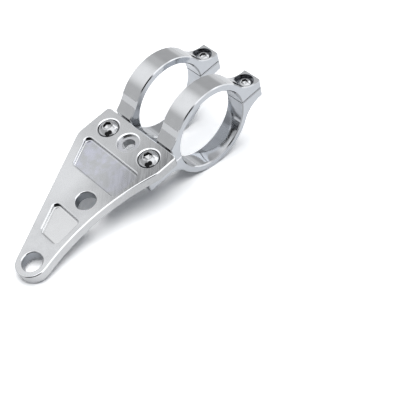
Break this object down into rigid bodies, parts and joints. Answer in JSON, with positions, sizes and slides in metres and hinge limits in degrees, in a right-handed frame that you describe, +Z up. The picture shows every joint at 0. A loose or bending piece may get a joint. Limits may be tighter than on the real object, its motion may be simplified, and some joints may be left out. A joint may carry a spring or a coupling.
{
  "type": "headlight mounting bracket",
  "caption": "Tapered flat headlight arm with milled pockets and a lamp hole in its rounded tip, bolted to split clamp rings that grip a motorbike fork leg.",
  "frame": {"origin": "on the fork axis, midway between the two clamp rings", "axes": "+Y along the fork axis towards the straight side of the arm, +X level from the lamp end towards the pinched ears, +Z up with the bracket lying on its ring bottoms and the tip of its arm"},
  "size_m": [0.1475, 0.0504, 0.0486],
  "materials": {
    "arm_alloy": "satin brushed",
    "clamp_alloy": "polished",
    "mounting_screw_chrome": "bright",
    "pinch_screw_chrome": "bright"
  },
  "bodies": {
    "root": {"arm_plate": "arm_alloy", "far_clamp_saddle": "clamp_alloy", "far_clamp_cap": "clamp_alloy", "near_clamp_saddle": "clamp_alloy", "near_clamp_cap": "clamp_alloy", "mounting_screws": "mounting_screw_chrome", "pinch_screws": "pinch_screw_chrome"}
  },
  "joints": []
}
